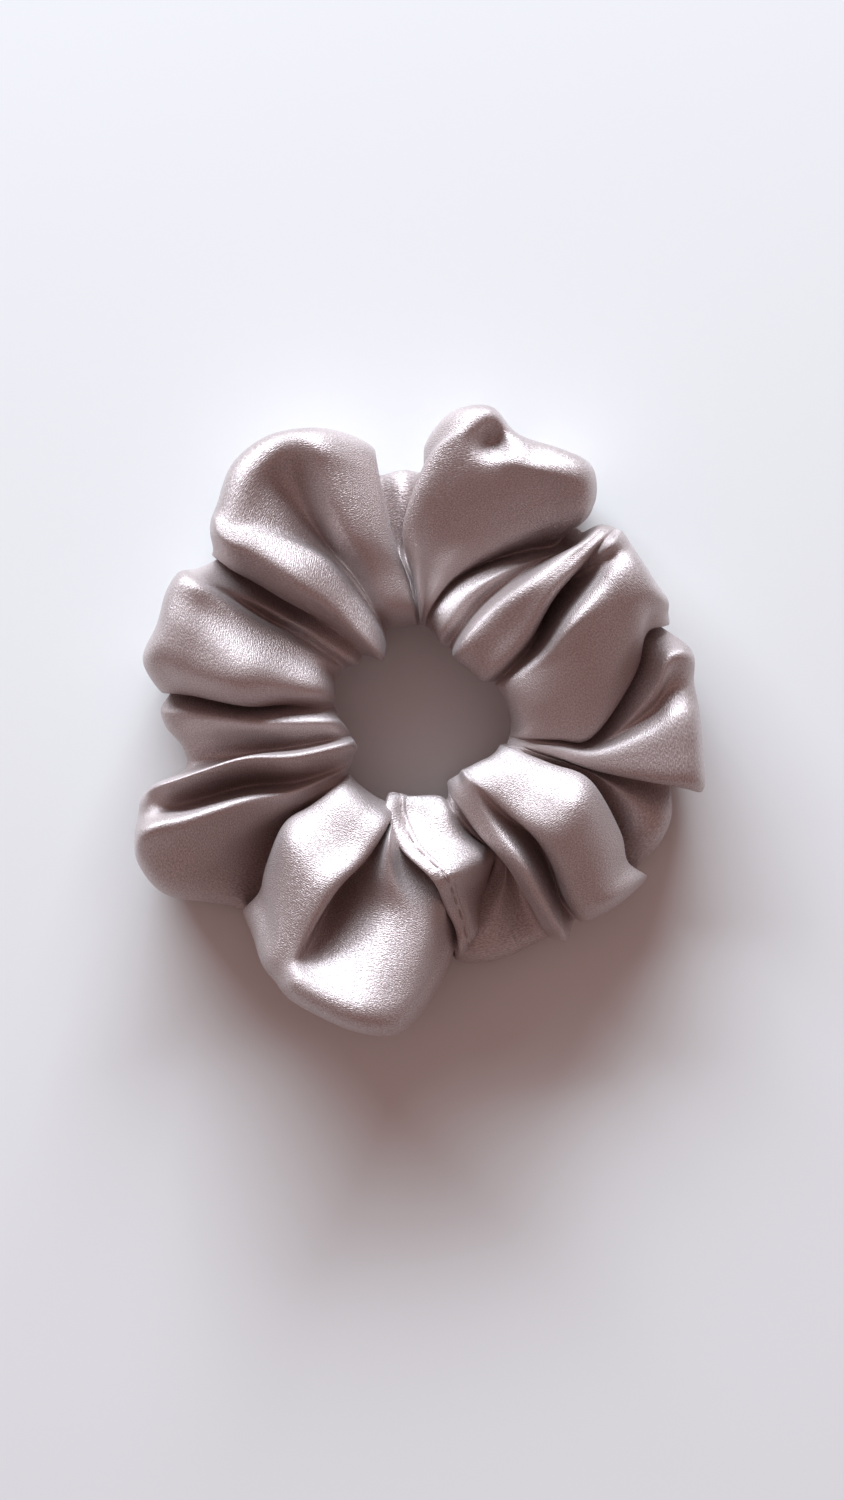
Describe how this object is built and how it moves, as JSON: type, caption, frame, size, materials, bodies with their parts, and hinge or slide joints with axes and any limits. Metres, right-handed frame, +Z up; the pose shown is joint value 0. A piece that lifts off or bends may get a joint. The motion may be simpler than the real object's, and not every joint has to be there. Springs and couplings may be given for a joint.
{
  "type": "scrunchie",
  "caption": "Satin hair scrunchie: a gathered fabric tube around a flat elastic loop, closed by a folded hand-sewn seam, that stretches open and returns.",
  "frame": {"origin": "under the middle of the ring, on the surface it lies on", "axes": "+Z up through the opening, +Y away from the closing seam, the seam is towards -Y"},
  "size_m": [0.1062, 0.1121, 0.03],
  "materials": {
    "satin": "satin weave, taupe, sheen runs across the lengthwise threads",
    "elastic": "braided flat elastic, off-white",
    "thread": "spun polyester sewing thread, matched to the satin"
  },
  "bodies": {
    "seam_mouth_length": {"seam_mouth": "satin", "closing_stitches": "thread", "elastic_start": "elastic", "long_seam_start": "thread"},
    "gather_01_length": {"gather_01": "satin", "elastic_01": "elastic", "long_seam_01": "thread", "elastic_lap": "elastic", "elastic_lap_stitches": "thread"},
    "gather_02_length": {"gather_02": "satin", "elastic_02": "elastic", "long_seam_02": "thread"},
    "gather_03_length": {"gather_03": "satin", "elastic_03": "elastic", "long_seam_03": "thread"},
    "gather_04_length": {"gather_04": "satin", "elastic_04": "elastic", "long_seam_04": "thread"},
    "gather_05_length": {"gather_05": "satin", "elastic_05": "elastic", "long_seam_05": "thread"},
    "gather_06_length": {"gather_06": "satin", "elastic_06": "elastic", "long_seam_06": "thread"},
    "gather_07_length": {"gather_07": "satin", "elastic_07": "elastic", "long_seam_07": "thread"},
    "gather_08_length": {"gather_08": "satin", "elastic_08": "elastic", "long_seam_08": "thread"},
    "gather_09_length": {"gather_09": "satin", "elastic_09": "elastic", "long_seam_09": "thread"},
    "gather_10_length": {"gather_10": "satin", "elastic_10": "elastic", "long_seam_10": "thread"},
    "gather_11_length": {"gather_11": "satin", "elastic_11": "elastic", "long_seam_11": "thread"},
    "seam_tail_length": {"seam_tail": "satin", "elastic_end": "elastic", "long_seam_end": "thread"}
  },
  "joints": [
    {"name": "stretch_gather_01", "type": "slide", "parent": "seam_mouth_length", "child": "gather_01_length", "axis": [0.9336, 0.3584, 0], "range_m": [0, 0.0134], "stiffness_N_per_m": 333},
    {"name": "stretch_gather_02", "type": "slide", "parent": "gather_01_length", "child": "gather_02_length", "axis": [0.6293, 0.7771, 0], "range_m": [0, 0.0134], "stiffness_N_per_m": 333},
    {"name": "stretch_gather_03", "type": "slide", "parent": "gather_02_length", "child": "gather_03_length", "axis": [0.1564, 0.9877, 0], "range_m": [0, 0.0134], "stiffness_N_per_m": 333},
    {"name": "stretch_gather_04", "type": "slide", "parent": "gather_03_length", "child": "gather_04_length", "axis": [-0.3584, 0.9336, 0], "range_m": [0, 0.0134], "stiffness_N_per_m": 333},
    {"name": "stretch_gather_05", "type": "slide", "parent": "gather_04_length", "child": "gather_05_length", "axis": [-0.7771, 0.6293, 0], "range_m": [0, 0.0134], "stiffness_N_per_m": 333},
    {"name": "stretch_gather_06", "type": "slide", "parent": "gather_05_length", "child": "gather_06_length", "axis": [-0.9877, 0.1564, 0], "range_m": [0, 0.0134], "stiffness_N_per_m": 333},
    {"name": "stretch_gather_07", "type": "slide", "parent": "gather_06_length", "child": "gather_07_length", "axis": [-0.9336, -0.3584, 0], "range_m": [0, 0.0134], "stiffness_N_per_m": 333},
    {"name": "stretch_gather_08", "type": "slide", "parent": "gather_07_length", "child": "gather_08_length", "axis": [-0.6293, -0.7771, 0], "range_m": [0, 0.0134], "stiffness_N_per_m": 333},
    {"name": "stretch_gather_09", "type": "slide", "parent": "gather_08_length", "child": "gather_09_length", "axis": [-0.1564, -0.9877, 0], "range_m": [0, 0.0134], "stiffness_N_per_m": 333},
    {"name": "stretch_gather_10", "type": "slide", "parent": "gather_09_length", "child": "gather_10_length", "axis": [0.3584, -0.9336, 0], "range_m": [0, 0.0134], "stiffness_N_per_m": 333},
    {"name": "stretch_gather_11", "type": "slide", "parent": "gather_10_length", "child": "gather_11_length", "axis": [0.7771, -0.6293, 0], "range_m": [0, 0.0134], "stiffness_N_per_m": 333},
    {"name": "stretch_seam_tail", "type": "slide", "parent": "gather_11_length", "child": "seam_tail_length", "axis": [0.9877, -0.1564, 0], "range_m": [0, 0.0134], "stiffness_N_per_m": 333}
  ],
  "couplings": [
    {"joint": "stretch_gather_02", "follows": "stretch_gather_01", "ratio": 1},
    {"joint": "stretch_gather_03", "follows": "stretch_gather_01", "ratio": 1},
    {"joint": "stretch_gather_04", "follows": "stretch_gather_01", "ratio": 1},
    {"joint": "stretch_gather_05", "follows": "stretch_gather_01", "ratio": 1},
    {"joint": "stretch_gather_06", "follows": "stretch_gather_01", "ratio": 1},
    {"joint": "stretch_gather_07", "follows": "stretch_gather_01", "ratio": 1},
    {"joint": "stretch_gather_08", "follows": "stretch_gather_01", "ratio": 1},
    {"joint": "stretch_gather_09", "follows": "stretch_gather_01", "ratio": 1},
    {"joint": "stretch_gather_10", "follows": "stretch_gather_01", "ratio": 1},
    {"joint": "stretch_gather_11", "follows": "stretch_gather_01", "ratio": 1},
    {"joint": "stretch_seam_tail", "follows": "stretch_gather_01", "ratio": 1}
  ]
}
